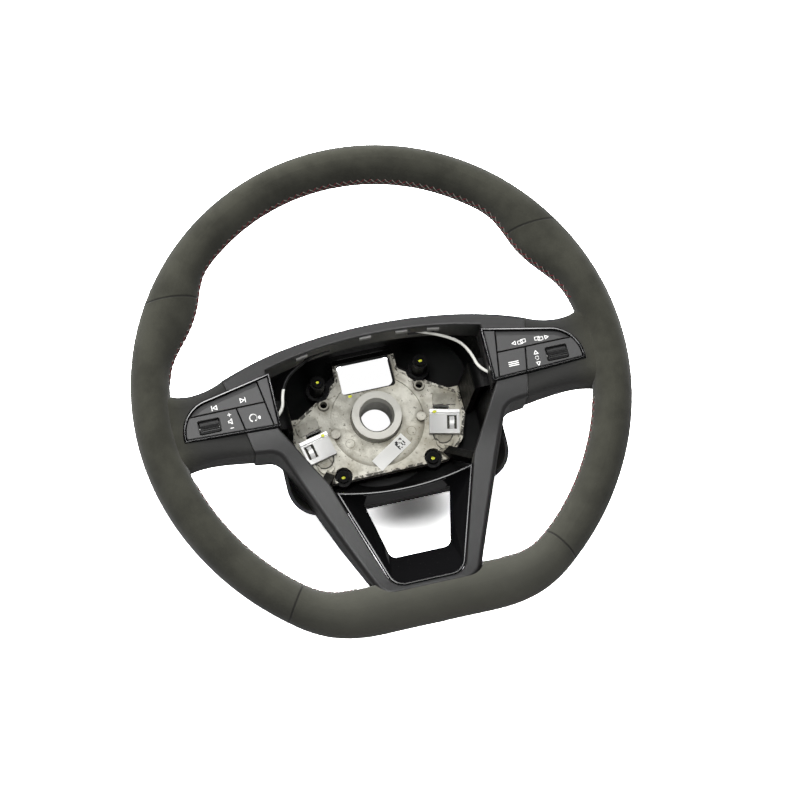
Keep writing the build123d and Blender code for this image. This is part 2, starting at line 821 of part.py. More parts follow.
def switch_module():
    """The right-hand module's pieces, from its housing up to its keys."""
    floor = module_back + module_floor
    key_low = module_face - key_thickness
    regions = key_regions()
    plate_legs, cap_leg = leg_plans()
    posts = rocker_post_plans()
    pin_start = rocker_web_low - rocker_post_gap - rocker_post_thickness
    pin_end = rocker_web_high + rocker_post_gap + rocker_post_thickness
    inside = offset(module_outline(), -housing_wall, kind=Kind.INTERSECTION)
    pieces = {}

    housing = slab(module_outline(), module_back, key_low) - slab(inside, floor, 2 * rim_height)
    housing += slab(posts, module_back, key_low - key_gap / 2)
    pieces["switch_housing"] = housing - across_pin(pin_radius, pin_start, pin_end)

    bezel_plan = module_outline() - offset(module_outline(), -bezel_width, kind=Kind.INTERSECTION)
    bezel = slab(bezel_plan, key_low, module_face + bezel_rise)
    pieces["switch_bezel"] = softened(bezel, bezel_edge_radius)

    feet = offset(plate_legs + cap_leg + posts, leg_clearance, kind=Kind.INTERSECTION)
    board_plan = offset(inside, -board_margin, kind=Kind.INTERSECTION) - feet
    board_top = floor + board_thickness
    pieces["switch_board"] = slab(board_plan, floor, board_top)

    mat_top = board_top + mat_thickness
    button_face = key_plan(regions["button"])
    rocker_face = key_plan(regions["rocker"])
    middle = button_face.center()
    button_place = (middle.X, middle.Y)
    mat = slab(board_plan, board_top, mat_top)
    for place in (button_place, roller_place):
        mat += post(place, dome_radius, mat_top, mat_top + dome_height)
    pieces["key_mat"] = mat

    button = softened(slab(button_face, key_low, module_face), key_edge_radius)
    stem_low = mat_top + dome_height + stem_gap
    pieces["push_button"] = button + slab(Pos(*button_place) * Rectangle(*stem_size), stem_low, key_low)

    rocker = slab(rocker_face, key_low, module_face)
    face = rocker.faces().sort_by(Axis.Z)[-1]
    top_edge = face.edges().filter_by(GeomType.LINE).sort_by(SortBy.LENGTH)[-2:].sort_by(Axis.Y)[-1]
    rocker = chamfer(top_edge, rocker_facet_width, rocker_facet_drop, reference=face)
    rocker = softened(rocker, key_edge_radius)
    web_depth = (rocker_web_low + rocker_web_high) / 2
    web = Pos(rocker_pivot_x, web_depth) * Rectangle(rocker_web, rocker_web_high - rocker_web_low)
    pivot = module_face - rocker_pivot_drop
    rocker += slab(web, pivot - rocker_web / 2, key_low)
    pieces["rocker"] = rocker - across_pin(pin_radius + running_clearance, pin_start, pin_end)
    pieces["rocker_pin"] = across_pin(pin_radius, pin_start, pin_end)

    opening = RectangleRounded(roller_window_length, roller_window_width, roller_window_radius)
    plate_low = module_face - roller_plate_thickness
    plate = slab(key_plan(regions["plate"]) - Pos(*roller_place) * opening, plate_low, module_face)
    pieces["roller_plate"] = softened(plate, key_edge_radius) + slab(plate_legs, floor, plate_low)
    cap = softened(slab(key_plan(regions["end_cap"]), key_low, module_face), key_edge_radius)
    pieces["end_cap"] = cap + slab(cap_leg, floor, key_low)

    roller_start = roller_place[0] - roller_length / 2
    roller_end = roller_start + roller_length
    ridge = []
    for step in range(2 * roller_ridges):
        reach = roller_radius - roller_ridge_height * (step % 2)
        turn = math.pi * step / roller_ridges
        ridge.append((reach * math.cos(turn), reach * math.sin(turn)))
    knurl = polygon(ridge) - Circle(axle_radius + running_clearance)
    pieces["roller"] = roller_bar(knurl, roller_start, roller_end)

    carrier_start = roller_start - carrier_gap - carrier_cheek
    carrier_end = roller_end + carrier_gap + carrier_cheek
    axis_low = -roller_radius - carrier_gap - carrier_floor
    cheek_high = roller_drop - roller_plate_thickness - carrier_gap
    cheek = polygon(
        [
            (-carrier_half_width, axis_low),
            (carrier_half_width, axis_low),
            (carrier_half_width, cheek_high),
            (-carrier_half_width, cheek_high),
        ]
    )
    carrier = roller_bar(cheek - Circle(axle_radius), carrier_start, carrier_end)
    hollow = Rectangle(4 * carrier_half_width, 2 * (roller_radius + carrier_gap))
    carrier -= roller_bar(hollow, roller_start - carrier_gap, roller_end + carrier_gap)
    pieces["roller_carrier"] = carrier
    pieces["roller_axle"] = roller_bar(Circle(axle_radius), carrier_start, carrier_end)
    return pieces


def switch_lead():
    """Lead from one module's inner wall, round the brow, to the other."""
    right = [(module_inner + lead_start_depth, lead_start_side, -lead_start_drop)] + lead_path
    route = right + [(-x, y, z) for x, y, z in reversed(right)]
    points = [Vector(x, y, rim_height + z) for x, y, z in route]
    radii = []
    for before, corner, after in zip(points, points[1:], points[2:]):
        run = min((corner - before).length, (after - corner).length)
        turn = math.radians((corner - before).get_angle(after - corner))
        radii.append(lead_bend_share * run / math.tan(turn / 2))
    print("lead bend radii", [round(radius, 1) for radius in radii])
    path = FilletPolyline(*points, radius=radii)
    lead = sweep(Plane(path @ 0, z_dir=path % 0) * Circle(lead_radius), path=path)
    print("lead volume", round(lead.volume, 1), "of", round(math.pi * lead_radius**2 * path.length, 1))
    return lead - module_pair(0, module_back, module_face)


def paired(pieces):
    """Right-hand pieces and their left-hand mirror images, named for their sides."""
    nodes = {}
    for name, shape in pieces.items():
        nodes["right_" + name] = shape
        nodes["left_" + name] = mirror(shape, about=Plane.YZ)
    return nodes


foam_half = half_rim(cover_thickness)
skin_half = half_rim(0) - foam_half

nodes = {
    "armature": armature(),
    "hub_sleeve": hub_sleeve(),
    "rim_foam": rim_foam(foam_half),
    "rim_cover_top": top_cover(skin_half),
    "rim_cover_bottom": bottom_cover(skin_half),
    "rear_cover": rear_cover(),
    "spoke_cover": spoke_cover(),
    "lower_trim": lower_trim(),
    "cover_screws": cover_screws(),
    "switch_lead": switch_lead(),
}
nodes.update(paired({"rim_cover": side_cover(skin_half, foam_half)}))
nodes.update(paired({"clip": clip(), "clip_leaf": clip_leaf()}))
nodes.update(paired(switch_module()))

os.makedirs("parts", exist_ok=True)
for name, shape in nodes.items():
    export_step(shape, os.path.join("parts", name + ".step"))
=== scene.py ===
import json
import math
import random

import bpy
from mathutils import Matrix, Vector
from mathutils.bvhtree import BVHTree


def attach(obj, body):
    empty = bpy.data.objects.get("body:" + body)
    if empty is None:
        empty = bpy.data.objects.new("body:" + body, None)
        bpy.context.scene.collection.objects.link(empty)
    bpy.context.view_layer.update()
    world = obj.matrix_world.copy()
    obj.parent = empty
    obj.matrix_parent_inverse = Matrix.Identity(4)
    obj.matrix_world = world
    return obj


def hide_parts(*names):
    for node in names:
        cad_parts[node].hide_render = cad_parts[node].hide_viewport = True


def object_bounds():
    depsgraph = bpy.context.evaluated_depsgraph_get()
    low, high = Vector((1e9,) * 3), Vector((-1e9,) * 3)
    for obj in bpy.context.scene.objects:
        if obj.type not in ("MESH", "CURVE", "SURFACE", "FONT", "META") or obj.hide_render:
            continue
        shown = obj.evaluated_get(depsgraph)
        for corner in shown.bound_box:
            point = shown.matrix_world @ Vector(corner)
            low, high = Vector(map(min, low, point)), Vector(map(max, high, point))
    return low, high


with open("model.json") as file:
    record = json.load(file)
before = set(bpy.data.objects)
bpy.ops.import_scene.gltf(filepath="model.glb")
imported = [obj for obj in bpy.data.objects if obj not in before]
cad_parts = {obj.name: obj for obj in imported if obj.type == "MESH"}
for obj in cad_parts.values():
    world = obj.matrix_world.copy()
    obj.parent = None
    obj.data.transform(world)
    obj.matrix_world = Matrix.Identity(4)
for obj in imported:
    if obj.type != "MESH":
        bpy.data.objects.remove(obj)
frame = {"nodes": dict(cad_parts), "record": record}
size_at_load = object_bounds()


# Stage: a white table that the wheel lies on, its hub's collar down. The table is bright to the
# camera, so that it reads as the photo's white ground, and still takes the wheel's soft shadow.
class Value:
    """A shader or geometry value: sums, products and any other node made from it build themselves."""

    def __init__(self, tree, socket=None):
        self.tree = tree
        self.socket = socket

    def make(self, kind, links, output=0, **settings):
        node = self.tree.nodes.new(kind)
        for name, value in settings.items():
            setattr(node, name, value)
        for name, value in links.items():
            if isinstance(value, Value):
                self.tree.links.new(value.socket, node.inputs[name])
            else:
                node.inputs[name].default_value = value
        return Value(self.tree, node.outputs[output])

    def maths(self, operation, first, second):
        return self.make("ShaderNodeMath", {0: first, 1: second}, operation=operation)

    def __add__(self, other):
        return self.maths("ADD", self, other)

    def __sub__(self, other):
        return self.maths("SUBTRACT", self, other)

    def __rsub__(self, other):
        return self.maths("SUBTRACT", other, self)

    def __mul__(self, other):
        return self.maths("MULTIPLY", self, other)

    def __abs__(self):
        return self.maths("ABSOLUTE", self, 0.0)

    def __lt__(self, other):
        return self.maths("LESS_THAN", self, other)

    def __gt__(self, other):
        return self.maths("GREATER_THAN", self, other)

    __radd__ = __add__
    __rmul__ = __mul__

    def smooth(self, low, high):
        links = {"Value": self, "From Min": low, "From Max": high}
        return self.make("ShaderNodeMapRange", links, interpolation_type="SMOOTHSTEP")

    def noise(self, scale, detail=2.0, roughness=0.5):
        links = {"Vector": self, "Scale": scale, "Detail": detail, "Roughness": roughness}
        return self.make("ShaderNodeTexNoise", links)

    def part(self, axis):
        return self.make("ShaderNodeSeparateXYZ", {0: self}, output=axis)

    def mixed(self, first, second):
        links = {0: self, 6: first, 7: second}
        return self.make("ShaderNodeMix", links, output=2, data_type="RGBA")

    def bump(self, strength, distance):
        links = {"Height": self, "Strength": strength, "Distance": distance}
        return self.make("ShaderNodeBump", links)


def tone(red, green, blue):
    """A colour given as eight-bit values, made linear."""
    parts = [v / 255 for v in (red, green, blue)]
    linear = [v / 12.92 if v < 0.04045 else ((v + 0.055) / 1.055) ** 2.4 for v in parts]
    return (*linear, 1.0)


def finish(name, colour, roughness, **constants):
    """A material whose shader has plain values."""
    material = bpy.data.materials.new(name)
    material.use_nodes = True
    inputs = material.node_tree.nodes["Principled BSDF"].inputs
    inputs["Base Color"].default_value = colour
    inputs["Roughness"].default_value = roughness
    for key, value in constants.items():
        inputs[key.replace("_", " ")].default_value = value
    return material


def place_on(material):
    """The place of each point of the pieces that have a material."""
    return Value(material.node_tree).make("ShaderNodeTexCoord", {}, output="Object")


def wire(material, **values):
    """Leads Values to the inputs of a material's shader."""
    inputs = material.node_tree.nodes["Principled BSDF"].inputs
    for key, value in values.items():
        material.node_tree.links.new(value.socket, inputs[key.replace("_", " ")])


def mesh_object(name, points, faces, material):
    """A new mesh at the origin, in metres, from faces that wind outward."""
    data = bpy.data.meshes.new(name)
    data.from_pydata(points, [], faces)
    data.materials.append(material)
    obj = bpy.data.objects.new(name, data)
    bpy.context.scene.collection.objects.link(obj)
    return obj


table_half_width, table_gap = 6.0, 0.0004
glowing_patch_middle, glowing_patch_radius = (0.003, 0.028), 0.031  # a patch of the table under the hub glows white: painted light in place of the hub's shadow, seen through the hub's openings
table_white = finish("table_white", (0.22, 0.22, 0.22, 1), 0.9)
table_place = place_on(table_white)
table_nodes = table_white.node_tree.nodes
dim = Value(table_white.node_tree, table_nodes["Principled BSDF"].outputs[0])
bright = table_place.make("ShaderNodeBsdfDiffuse", {"Color": (0.9, 0.9, 0.9, 1)})
for _ in range(2):
    bright = table_place.make("ShaderNodeAddShader", {0: bright, 1: bright})
glow = table_place.make("ShaderNodeEmission", {"Color": (1, 1, 1, 1), "Strength": 1.0})
aside, ahead = (table_place.part(axis) - glowing_patch_middle[axis] for axis in range(2))
in_glowing_patch = (aside * aside + ahead * ahead) < glowing_patch_radius * glowing_patch_radius
bright = table_place.make("ShaderNodeMixShader", {0: in_glowing_patch, 1: bright, 2: glow})
seen = table_place.make("ShaderNodeLightPath", {}, output="Is Camera Ray")
shown = table_place.make("ShaderNodeMixShader", {0: seen, 1: dim, 2: bright})
table_white.node_tree.links.new(shown.socket, table_nodes["Material Output"].inputs["Surface"])
table_level = size_at_load[0].z - table_gap
corners = [(-1, -1), (1, -1), (1, 1), (-1, 1)]
corners = [(x * table_half_width, y * table_half_width, table_level) for x, y in corners]
table = mesh_object("table", corners, [(0, 1, 2, 3)], table_white)

room_light, gloss_loss = 0.1, 0.04
world = bpy.data.worlds.new("studio")
bpy.context.scene.world = world
world.use_nodes = True
sky = world.node_tree.nodes["Background"]
sky.inputs["Color"].default_value = (1, 1, 1, 1)
in_gloss = Value(world.node_tree).make("ShaderNodeLightPath", {}, output="Is Glossy Ray")
strength = room_light - in_gloss * gloss_loss
world.node_tree.links.new(strength.socket, sky.inputs["Strength"])


def lamp(name, place, target, size, power, mirrored):
    """A soft box that faces a point, with or without its own image in gloss."""
    data = bpy.data.lights.new(name, "AREA")
    data.shape = "RECTANGLE"
    data.size, data.size_y = size
    data.energy = power
    obj = bpy.data.objects.new(name, data)
    obj.location = place
    obj.rotation_mode = "QUATERNION"
    obj.rotation_quaternion = (Vector(target) - Vector(place)).to_track_quat("-Z", "Y")
    obj.visible_glossy = mirrored
    bpy.context.scene.collection.objects.link(obj)


table_middle, wheel_middle = (0, 0, 0), (0, 0, 0.05)
lamp("left_box", (-1.45, 1.5, 0.4), table_middle, (0.4, 0.3), 50, False)
lamp("right_box", (0.6, 2.0, 0.4), table_middle, (0.4, 0.3), 50, False)
lamp("back_box", (-0.2, 1.9, 1.6), wheel_middle, (1.6, 0.8), 62, False)
lamp("back_strip", (0.1, 1.15, 2.0), wheel_middle, (2.0, 0.15), 12, True)
lamp("front_box", (0.3, -1.5, 1.8), wheel_middle, (1.0, 0.6), 26, False)
lamp("overhead_box", (-0.35, 0.1, 2.4), wheel_middle, (0.8, 0.6), 32, True)
# Three small lamps stand where the upper edges of the bezels and the trim mirror them to the camera.
glint_level = 2.307
glints = (
    ("left_glint", 0.0375, 0.6625, (0.135, 0.075), 1.0),
    ("right_glint", 0.5, 0.6625, (0.11, 0.075), 0.7),
    ("trim_glint", 0.27, 0.415, (0.2, 0.17), 1.5),
)
for glint, x, y, size, power in glints:
    lamp(glint, (x, y, glint_level), (x, y, 0), size, power, True)

view_turn, view_rise, view_roll = (math.radians(angle) for angle in (-24.088, 73.063, 11.106))
view_distance, rim_middle = 2.307, Vector((0, 0, 0.1))
camera_data = bpy.data.cameras.new("camera")
camera_data.sensor_width = 36
camera_data.lens = 140.7
camera_data.shift_x = 0.0221
camera_data.shift_y = -0.0161
camera_data.clip_end = 20
camera = bpy.data.objects.new("camera", camera_data)
bpy.context.scene.collection.objects.link(camera)
bpy.context.scene.camera = camera
side = Vector((math.cos(view_turn), math.sin(view_turn), 0))
front = Vector((math.sin(view_turn), -math.cos(view_turn), 0))
back = front * math.cos(view_rise) + Vector((0, 0, math.sin(view_rise)))
upright = back.cross(side)
right_way = math.cos(view_roll) * side + math.sin(view_roll) * upright
up_way = math.cos(view_roll) * upright - math.sin(view_roll) * side
turned = Matrix((right_way, up_way, back)).transposed().to_4x4()
camera.matrix_world = Matrix.Translation(back * view_distance + rim_middle) @ turned
bpy.context.scene.view_settings.view_transform = "Standard"


# Armature: one light-metal die casting of hub plate, arms and rim core, which carries all the rest.
# The hub plate is bare, with stains and painted shade round its collars, in its dish and under its
# clips, and painted light on its slot walls; the arms beyond it are black.
def paint(material, *nodes):
    """Gives a material to CAD nodes."""
    for node in nodes:
        slots = frame["nodes"][node].data.materials
        slots.clear()
        slots.append(material)


hub_middle, dish_middle = (0, 0), (0, -0.003)
guide_spot, disc_spot, low_disc_spot, boss_spot = (
    (0.0375, 0.0173), (0.0335, -0.0067), (0.024, -0.0156), (0.04, 0.03),
)
plate_face, lip_top = 0.0202, 0.0214
sleeve_line, guide_line, low_disc_line = (0.0191, 0.0199), (0.0039, 0.0046), (0.0031, 0.0038)
wall_foot, wall_shade, wall_edge = 0.0295, 0.0358, 0.0362
bare_low, bare_high, bare_half_width, bare_top = 0.0145, 0.0275, 0.0668, 0.0464
corner_lean, corner_reach = (0.696, -0.722), 0.0648
clip_middle, clip_turn = (0.0495, -0.0155), math.radians(-13)
clip_half_width, clip_half_height = 0.0112, 0.0092
slot_offset, slot_half_width, slot_half_height = 0.0125, 0.0092, 0.0018
pocket_middle, pocket_radius, pocket_inside = (-0.001, -0.0087), 0.0079, 0.0068
casting = finish("casting", tone(168, 166, 155), 0.5, Specular_IOR_Level=0.12)
cast_place = place_on(casting)
across, along, height = (cast_place.part(axis) for axis in range(3))


def from_spot(spot):
    """Squared distance from a spot on either side of the wheel."""
    aside, ahead = abs(across) - spot[0], along - spot[1]
    return aside * aside + ahead * ahead


def within(spot, radius):
    """One inside a circle on either side of the wheel, and nothing outside it."""
    return from_spot(spot) < radius * radius


def ring_line(spot, inside, outside):
    """A round line between two radii."""
    return within(spot, outside) - within(spot, inside)


def collar_shade(spot, radius, reach):
    """Painted shade round a collar that thins out over a reach."""
    return 1 - from_spot(spot).smooth(radius * radius, (radius + reach) * (radius + reach))


def clip_frame(place):
    """Distances across and up a latch clip from its middle, on either side of the wheel."""
    aside, ahead = abs(place.part(0)) - clip_middle[0], place.part(1) - clip_middle[1]
    return (
        aside * math.cos(clip_turn) + ahead * math.sin(clip_turn),
        ahead * math.cos(clip_turn) - aside * math.sin(clip_turn),
    )


blotch = cast_place.noise(90, 4, 0.6).smooth(0.35, 0.7)
stain = cast_place.noise(28, 3, 0.55).smooth(0.45, 0.68)
speck = cast_place.noise(420, 2, 0.5).smooth(0.62, 0.72)
# Painted shade: the plate is darker towards its upper left.
painted_upper_left_shade = (along * 0.7 - across * 0.7).smooth(0.0, 0.032)
lip = height.smooth(plate_face, plate_face + 0.0004) * (height < lip_top)
lip = lip * (1 - within(disc_spot, 0.004))
skin = lip * cast_place.noise(300, 3, 0.6).smooth(0.44, 0.52)
joint = ring_line(hub_middle, *sleeve_line) + ring_line(guide_spot, *guide_line)
# Painted shade round the guide collars, the sleeve and a disc, with a dark ring line round the low
# disc.
collar_shade_and_disc_ring = collar_shade(guide_spot, 0.0042, 0.005) + collar_shade(hub_middle, 0.0195, 0.005) * 0.6
collar_shade_and_disc_ring = collar_shade_and_disc_ring + collar_shade(disc_spot, 0.0036, 0.003) * (height < plate_face)
collar_shade_and_disc_ring = collar_shade_and_disc_ring + ring_line(low_disc_spot, *low_disc_line)
# Painted shade on the lower half of the dish's wall.
dish = from_spot(dish_middle)
painted_dish_shade = dish.smooth(wall_foot * wall_foot, wall_shade * wall_shade)
painted_dish_shade = painted_dish_shade * (dish < wall_edge * wall_edge)
painted_dish_shade = painted_dish_shade * (height < plate_face - 0.0001) * (1 - along.smooth(-0.012, 0.01))
clip_u, clip_v = clip_frame(cast_place)
# Painted shade on the casting under each clip.
shade_under_clip = (abs(clip_u) < clip_half_width) * (abs(clip_v) < clip_half_height)
# Painted light: the slot walls above each clip are near white, and kept out of the black.
painted_slot_light = (abs(clip_u) < slot_half_width) * (abs(clip_v - slot_offset) < slot_half_height)
painted_slot_light = painted_slot_light * (height < plate_face - 0.0004)
# Painted shade: a half-round pocket below each clip's middle is darker, with a darker line round its
# edge.
pocket_u, pocket_v = clip_u - pocket_middle[0], clip_v - pocket_middle[1]
pocket_reach = pocket_u * pocket_u + pocket_v * pocket_v
painted_pocket_shade = (pocket_reach < pocket_radius * pocket_radius) * (pocket_v < 0.0)
painted_pocket_edge_shade = painted_pocket_shade * (pocket_reach > pocket_inside * pocket_inside)
metal = blotch.mixed(tone(208, 206, 195), tone(160, 157, 145))
metal = (stain * 0.5).mixed(metal, tone(132, 125, 106))
metal = (painted_upper_left_shade * 0.5).mixed(metal, tone(122, 121, 114))
metal = (speck * 0.6).mixed(metal, tone(78, 74, 65))
metal = (skin * 0.85 + joint * 0.8 + shade_under_clip * 0.9).mixed(metal, tone(30, 29, 27))
metal = (painted_pocket_shade * 0.55 + painted_dish_shade * 0.7 + collar_shade_and_disc_ring * 0.45).mixed(metal, tone(104, 100, 88))
metal = (painted_pocket_edge_shade * 0.85).mixed(metal, tone(34, 33, 30))
metal = painted_slot_light.mixed(metal, tone(250, 250, 248))
corner = (abs(across) * corner_lean[0] + along * corner_lean[1]) > corner_reach
black = (height > bare_high) + (height < bare_low) + (along > bare_top)
black = black + (abs(across) > bare_half_width) + within(boss_spot, 0.0098) + corner
black = (black - painted_slot_light * 4.0).smooth(0.4, 0.6)
wire(
    casting,
    Base_Color=black.mixed(metal, tone(5, 5, 5)),
    Metallic=(1 - black) * 0.3,
    Roughness=cast_place.noise(160, 3, 0.6) * 0.35 + 0.3,
    Normal=(cast_place.noise(700, 3, 0.6) + cast_place.noise(150, 2, 0.5) * 1.5).bump(0.35, 0.0006),
)
paint(casting, "armature")


# Hub sleeve: a turned steel sleeve cast into the armature. The end of the steering column goes into
# it and is held by a bolt. The tool has left it a little uneven in gloss.
turned_steel = finish("turned_steel", tone(166, 165, 158), 0.38, Metallic=0.4)
wire(turned_steel, Roughness=place_on(turned_steel).noise(500, 2) * 0.3 + 0.22)
paint(turned_steel, "hub_sleeve")


# Hub label: a paper sticker on the casting that lies in its dish and rides up over the dish's edge,
# with a square smudge of ink at one end.
label_middle, label_turn = Vector((0.005, -0.029)), Matrix.Rotation(math.radians(33), 2)
label_size, smudge_start, smudge_size = (0.032, 0.011), (0.006, -0.0035), (0.007, 0.007)
label_level, edge_rise, edge_start, edge_run = 0.0178, 0.0025, 0.0096, 0.0186


def label_print(name, cells, columns, rows, start, reach, lift, material):
    """Some cells of a grid on the label."""
    points, faces = [], []
    for column, row in cells:
        faces.append(range(len(points), len(points) + 4))
        for right, high in ((0, 0), (1, 0), (1, 1), (0, 1)):
            x = start[0] + (column + right) / columns * reach[0]
            y = start[1] + (row + high) / rows * reach[1]
            flat = label_middle + label_turn @ Vector((x, y))
            climb = min(max((edge_start - x) / edge_run, 0), 1)
            level = label_level + edge_rise * climb * climb * (3 - 2 * climb)
            points.append((flat.x, flat.y, level + lift))
    piece = mesh_object(name, points, faces, material)
    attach(piece, "wheel")


label_paper = finish("label_paper", tone(232, 232, 228), 0.6)
label_start = (-label_size[0] / 2, -label_size[1] / 2)
strips = [(column, 0) for column in range(16)]
label_print("hub_label", strips, 16, 1, label_start, label_size, 0, label_paper)
label_ink = finish("label_ink", tone(45, 45, 44), 0.7)
dice = random.Random(4)
blots = [(column, row) for column in range(7) for row in range(7) if dice.random() < 0.5]
label_print("hub_label_smudge", blots, 7, 7, smudge_start, smudge_size, 0.00005, label_ink)


# Cover screws and airbag latches: black screws hold the rear cover, and two zinc-plated stamped
# clips, each with a spring leaf in its window, take the airbag's hooks. A painted highlight runs along
# the clips' bent edges.
screw_black = finish("screw_black", tone(5, 5, 5), 0.6, Specular_IOR_Level=0.1)
paint(screw_black, "cover_screws")
bent_edge = 0.0062
zinc_plate = finish("zinc_plate", tone(206, 206, 204), 0.35, Metallic=0.35)
plate_place = place_on(zinc_plate)
plate_u, plate_v = clip_frame(plate_place)
# Painted light and shade: each clip is lighter outward and upward, with a painted highlight along its
# bent upper edge.
painted_clip_light_and_shade = (plate_u + plate_v * 0.4).smooth(-0.014, 0.012)
painted_clip_light_and_shade = painted_clip_light_and_shade.mixed(tone(158, 158, 156), tone(196, 196, 194))
painted_clip_light_and_shade = (plate_v > bent_edge).mixed(painted_clip_light_and_shade, tone(236, 236, 234))
wire(zinc_plate, Base_Color=painted_clip_light_and_shade, Roughness=plate_place.noise(300, 3) * 0.35 + 0.2)
paint(zinc_plate, "left_clip", "right_clip")
spring_bright = finish("spring_bright", tone(242, 242, 240), 0.3, Metallic=0.2)
paint(spring_bright, "left_clip_leaf", "right_clip_leaf")


# Check marks: dabs of yellow paint, put by hand on each screw and latch, and one on the casting,
# when they were tightened or fitted.
def surface(*nodes):
    """A search tree over the faces of CAD nodes."""
    points, faces = [], []
    for node in nodes:
        data = frame["nodes"][node].data
        start = len(points)
        points += [vertex.co.copy() for vertex in data.vertices]
        faces += [[start + index for index in polygon.vertices] for polygon in data.polygons]
    return BVHTree.FromPolygons(points, faces)


def below(ground, x, y, above_all=0.2):
    """The point of a surface straight below a place."""
    return ground.ray_cast(Vector((x, y, above_all)), Vector((0, 0, -1)))[0]


def grown(name, points, edges, material, build, **amounts):
    """A plain mesh that a Geometry Nodes tree makes on points; amounts are its named inputs."""
    tree = bpy.data.node_groups.new(name, "GeometryNodeTree")
    tree.interface.new_socket("Geometry", in_out="OUTPUT", socket_type="NodeSocketGeometry")
    tree.interface.new_socket("Source", in_out="INPUT", socket_type="NodeSocketGeometry")
    sockets = {}
    for key in amounts:
        sockets[key] = tree.interface.new_socket(key, in_out="INPUT", socket_type="NodeSocketFloat")
    entry = tree.nodes.new("NodeGroupInput")
    given = {socket.name: Value(tree, socket) for socket in entry.outputs if socket.name}
    shape = build(given.pop("Source"), **given)
    shape = shape.make("GeometryNodeRealizeInstances", {0: shape})
    shape = shape.make("GeometryNodeSetMaterial", {0: shape, "Material": material})
    tree.links.new(shape.socket, tree.nodes.new("NodeGroupOutput").inputs[0])
    source = bpy.data.meshes.new(name + "_source")
    source.from_pydata(points, edges, [])
    holder = bpy.data.objects.new(name + "_source", source)
    bpy.context.scene.collection.objects.link(holder)
    modifier = holder.modifiers.new(name, "NODES")
    modifier.node_group = tree
    for key, socket in sockets.items():
        modifier[socket.identifier] = amounts[key]
    finished = holder.evaluated_get(bpy.context.evaluated_depsgraph_get())
    data = bpy.data.meshes.new_from_object(finished)
    data.name = name
    bpy.data.objects.remove(holder)
    piece = bpy.data.objects.new(name, data)
    bpy.context.scene.collection.objects.link(piece)
    return piece


def dabs(spots, size, seed):
    """Flat uneven dabs of paint on the spots."""
    dab = spots.make("GeometryNodeMeshIcoSphere", {"Radius": size, "Subdivisions": 2})
    links = {0: (0.7, 0.5, 0.2), 1: (1.1, 0.8, 0.3), "Seed": seed}
    spread = spots.make("FunctionNodeRandomValue", links, data_type="FLOAT_VECTOR")
    links = {"Points": spots, "Instance": dab, "Scale": spread}
    return spots.make("GeometryNodeInstanceOnPoints", links)


marking_paint = finish("marking_paint", tone(226, 230, 60), 0.45)
marked = surface("armature", "cover_screws", "left_clip", "right_clip")
paired_marks, lone_mark = ((0.04, 0.03), (0.035, -0.04), (0.0437, -0.0065)), (-0.0156, 0.021)
mark_spots = [(hand * x, y) for x, y in paired_marks for hand in (1, -1)] + [lone_mark]
mark_spots = [below(marked, x, y) for x, y in mark_spots]
marks = grown("yellow_marks", mark_spots, [], marking_paint, dabs, size=0.0019, seed=3.0)
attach(marks, "wheel")


# Rear cover: one black plastic moulding behind all the rest, a bucket round the hub with a deck
# behind the spokes and legs. Four screws hold it to the casting. Its skin has a fine grain.
def grain_on(material):
    """The fine grain of a moulding's skin."""
    return place_on(material).noise(1400, 2).bump(0.12, 0.0004)


shroud_plastic = finish("shroud_plastic", tone(10, 10, 10), 0.55, Specular_IOR_Level=0.3)
wire(shroud_plastic, Normal=grain_on(shroud_plastic))
paint(shroud_plastic, "rear_cover")


# Rim: foam moulded on the core and wrapped in four glued panels of suede, two of which run on to the
# spokes. The panels meet in sewn seams across the grip and end in a hem at the spoke cover.
suede = finish("suede", tone(46, 46, 41), 0.95, Sheen_Weight=0.16, Sheen_Roughness=0.4)
suede_place = place_on(suede)
outward, upward = abs(suede_place.part(0)), suede_place.part(1)


def from_line(start, lean):
    """Distance from a straight line through a start, with a unit vector that stands square on it."""
    return abs((outward - start[0]) * lean[0] + (upward - start[1]) * lean[1])


upper_half = upward > 0.0
upper_seam = from_line((0.1588, 0.0983), (-0.0847, 0.9964))
lower_seam = from_line((0, 0), (0.8281, 0.5606))
seam = upper_half * upper_seam + (1 - upper_half) * lower_seam
spoke_end = (1 - outward.smooth(0.135, 0.16)) * (1 - abs(upward).smooth(0.045, 0.06))
hem = (1 - from_line((0.115, 0.0295), (0.981, -0.195)).smooth(0.0003, 0.0013)) * spoke_end
groove = 1 - seam.smooth(0.0002, 0.0011) + hem
nap = suede_place.noise(35, 3, 0.6).smooth(0.3, 0.7)
fuzz = suede_place.noise(1500, 3, 0.7)
pile = (nap * 0.5 + fuzz * 0.5).mixed(tone(30, 30, 25), tone(54, 54, 47))
# Painted light: the suede is lighter towards the bottom of the rim, most of all near its middle.
painted_bottom_light = (1 - upward.smooth(-0.17, -0.05)) * (0.6 - outward.smooth(0.05, 0.15) * 0.45)
pile = painted_bottom_light.mixed(pile, tone(66, 66, 60))
pile = spoke_end.mixed(pile, tone(40, 40, 39))
wire(
    suede,
    Base_Color=(groove * 0.8).mixed(pile, tone(18, 18, 16)),
    Normal=(fuzz * 0.4 - groove * 2.0).bump(0.5, 0.0006),
)
panels = ("rim_cover_top", "rim_cover_bottom", "left_rim_cover", "right_rim_cover")
paint(suede, *panels)
foam = finish("foam", tone(30, 30, 30), 0.9)
paint(foam, "rim_foam")


